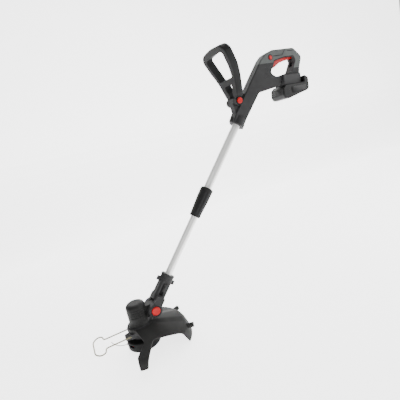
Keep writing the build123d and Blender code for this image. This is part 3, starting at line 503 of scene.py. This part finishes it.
rough_charcoal = moulded_plastic("rough_charcoal_nylon", (0.0105, 0.0105, 0.0100), 0.62, grain=380, depth=0.00035,
                                 gloss=0.2, speck=0.7)
dress("front_grip_pad", rough_charcoal)
handle_black = moulded_plastic("handle_black_nylon", (0.0190, 0.0190, 0.0192), 0.56, gloss=0.08)
dress("front_handle", handle_black)
hub_u, hub_v, hub_half = 0.750, 0.0425, 0.032
loop_angle = np.radians(107.5)
loop_up = np.array((np.cos(loop_angle), 0.0, np.sin(loop_angle)))
loop_rear = np.array((loop_up[2], 0.0, -loop_up[0]))
loop_fall = 14 / 118
bow, bow_length, hole_length, hole_side = 0.006, 0.088, 0.170, -0.060
hole_back = bow - loop_fall * (hole_length - bow_length)
hole_spot = on_shaft(hub_u, hub_v, hole_side) + hole_length * loop_up + hole_back * loop_rear
loop_slope = (loop_up - loop_fall * loop_rear) / np.hypot(1, loop_fall)
loop_front = np.cross(loop_slope, sideways)
# Painted shade: a dark disc stands for the shaded inside of the blind screw hole.
finish_piece(plate("handle_hole", hole_spot, sideways, -loop_slope, 0.0032, 0.0032, 0.0002, edge=0.3, power=2),
             seam_black_and_recess_shade, "front_handle", "black")
finish_piece(ring_round("handle_hole_rim", hole_spot, loop_front, 0.0030, 0.0046, 0.0007, sides=48), handle_black,
             "front_handle", "black")
hub_left = on_shaft(hub_u, hub_v, -hub_half)
finish_piece(ring_round("lock_button_ring", hub_left, (0, -1, 0), 0.0106, 0.0136, 0.0014), handle_black,
             "front_handle", "black")

# ---------------------------------------------------------------------------------------------
# Neck trim. The left half carries a long smooth panel, bare here, and the collar is stiffened by two
# hoops. A raised ring guards the tilt button on the ear, and the halves meet in a fine dark line.
finish_piece(plate("neck_panel", on_shaft(0.0685, 0.0, -0.017), up_shaft, -off_shaft, 0.0205, 0.0085, 0.0008),
             panel_black, "neck", "black")
neck_seam = seam_line("neck_seam", on_shaft(0.036, 0.019, 0), on_shaft(0.088, 0.019, 0), off_shaft, seam_width,
                      seam_height)
finish_piece(neck_seam, seam_black_and_recess_shade, "neck", "black")
for number in (1, 2):
    cross_recess(f"neck_screw_{number}", "neck")
for hoop, u in enumerate((0.099, 0.114)):
    band = ring_round(f"neck_hoop_{hoop + 1}", on_shaft(u, 0, 0), up_shaft, 0.0205, 0.0232, 0.0022)
    finish_piece(band, charcoal, "neck", "black")
ear_left = on_shaft(0, 0, -0.031)
finish_piece(ring_round("tilt_button_ring", ear_left, (0, -1, 0), 0.0148, 0.0205, 0.0024), charcoal,
             "neck", "black")

# ---------------------------------------------------------------------------------------------
# Motor cover. Glass-filled nylon with a coarse grain, in one piece with the lug that the neck holds.
# Near-black strips in the bottoms of its cooling grooves on both sides are painted shade.
def vent_strip(name, low, tall, mid_angle, half_angle):
    """Band round the motor: its section is an ellipse from 29.4 to 30.2 mm radius, which narrows by the factor
    sqrt(1 - t^8) to a point at each end, where t runs from -1 to 1."""
    turn = np.linspace(-1, 1, 48)[:, None]
    around = np.linspace(0, 2 * np.pi, 16, endpoint=False)[None, :]
    ends = np.sqrt(np.clip(1 - turn ** 8, 0, 1))
    r = 0.0298 + 0.0004 * np.cos(around) * ends
    z = low + tall / 2 + 0.5 * tall * np.sin(around) * ends
    angle = mid_angle + half_angle * turn + 0 * around
    return skin(name, np.stack([r * np.cos(angle), r * np.sin(angle), z], -1), join_columns=True)


dress("motor_cover", rough_charcoal)
vent_low, vent_step = 0.1122, 0.008
# Painted shade: near-black bands lie in the groove bottoms where the vent openings are shaded.
vent_painted_shade = moulded_plastic("vent_painted_shade", (0.0015, 0.0015, 0.0015), 0.7, painted_edge_highlight=0.0)
for hand, side in hands:
    for level in range(4):
        low = vent_low + vent_step * level
        strip = vent_strip(f"motor_vent_{hand}_{level + 1}", low, 0.0026, side * np.pi / 2, 0.72)
        finish_piece(strip, vent_painted_shade, "head", "black")

# ---------------------------------------------------------------------------------------------
# Guard trim. Polypropylene, stiffened by a broad raised spine from its hub over the shoulder that is
# moulded with it.
def bell_height(r):
    """Outside of the bell at radius r: a straight cone, a 22 mm arc over the shoulder and a steep skirt."""
    cone = 0.0796 - (r - 0.039) * 33.6 / 107
    arc = 0.02832 + np.sqrt(np.clip(0.022 ** 2 - (r - 0.12888) ** 2, 0, None))
    skirt = 0.03558 - (r - 0.14965) * 40 / 14
    return np.where(r < 0.13547, cone, np.where(r < 0.14965, arc, skirt))


def on_bell(name, plan_x, plan_y, lift):
    """Closed skin over a patch of the bell: the top is the plan grid lifted upwards by lift, the underside is the
    same grid 0.5 mm inside the bell, and the first and last rows close to a point."""
    top = bell_height(np.hypot(plan_x, plan_y))
    rows = np.stack([plan_x, plan_y, top + lift], -1)
    under = np.stack([plan_x, plan_y, top - 0.0005], -1)[:, ::-1]
    lid = np.concatenate([rows, under], axis=1)
    ends = [np.repeat(lid[i:i + 1].mean(1, keepdims=True), lid.shape[1], 1) for i in (0, -1)]
    return skin(name, np.concatenate([ends[0], lid, ends[1]]), join_columns=True)


guard_black = moulded_plastic("guard_black_polypropylene", (0.0250, 0.0250, 0.0243), 0.55, gloss=0.06)
dress("guard", guard_black)
spine_start, spine_end, spine_rise = 0.046, 0.1485, 0.0030
run = np.linspace(spine_start, spine_end, 70)[:, None]
cross = np.sin(np.linspace(-np.pi / 2, np.pi / 2, 60))[None, :]
wide = 0.030 + (run - spine_start) * 0.22
spine_y = wide * cross
spine_x = np.sqrt(run ** 2 - spine_y ** 2)
swell = np.clip((1 - np.abs(cross)) / 0.60, 0, 1)
swell = swell * swell * (3 - 2 * swell)
fade = np.clip((run - spine_start) / 0.016, 0, 1) * np.clip((spine_end - run) / 0.010, 0, 1)
fade = fade * fade * (3 - 2 * fade)
guard_spine = on_bell("guard_spine", spine_x, spine_y, spine_rise * swell * fade)
finish_piece(guard_spine, guard_black, "head", "black")

# ---------------------------------------------------------------------------------------------
# Wire plant guard. Bent from one length of zinc-plated steel wire, whose two ends slide in the motor base
# so that it can be pushed back when it isn't needed.
zinc_wire = anodised_tube("zinc_wire", (0.20, 0.18, 0.105), 0.34)
dress("wire_guard", zinc_wire)

# ---------------------------------------------------------------------------------------------
# Spool. A dull black nylon drum and snap-on cover that carry the line, turned by the motor, with the
# bump knob in the middle of its underside.
drum_black = moulded_plastic("drum_black_nylon", (0.0042, 0.0042, 0.0041), 0.62, grain=700, painted_edge_highlight=0.2, gloss=0.10)
for piece in ("spool_drum", "spool_cover", "bump_knob"):
    dress(piece, drum_black)

# ---------------------------------------------------------------------------------------------
# Cutting line. A short end of round nylon line that leaves the front eyelet and trails behind
# the turning spool.
line_height, line_radius = 0.026, 0.001
line_plan = [(-0.056, 0.0), (-0.070, 0.004), (-0.084, 0.016), (-0.094, 0.033), (-0.100, 0.051)]
line_route = [(x, y, line_height) for x, y in line_plan]
line_curve = bpy.data.curves.new("cutting_line_end", "CURVE")
line_curve.dimensions = "3D"
line_curve.bevel_depth = line_radius
line_curve.bevel_resolution = 4
line_curve.use_fill_caps = True
strand = line_curve.splines.new("NURBS")
strand.points.add(len(line_route) - 1)
strand.points.foreach_set("co", np.c_[np.array(line_route), np.ones(len(line_route))].ravel())
strand.order_u = 3
strand.use_endpoint_u = True
strand.resolution_u = 16
line_end = bpy.data.objects.new("cutting_line_end", line_curve)
bpy.context.scene.collection.objects.link(line_end)
line_curve.materials.append(line_brown)
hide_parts("cutting_line")
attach(line_end, "rotor")

low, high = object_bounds()
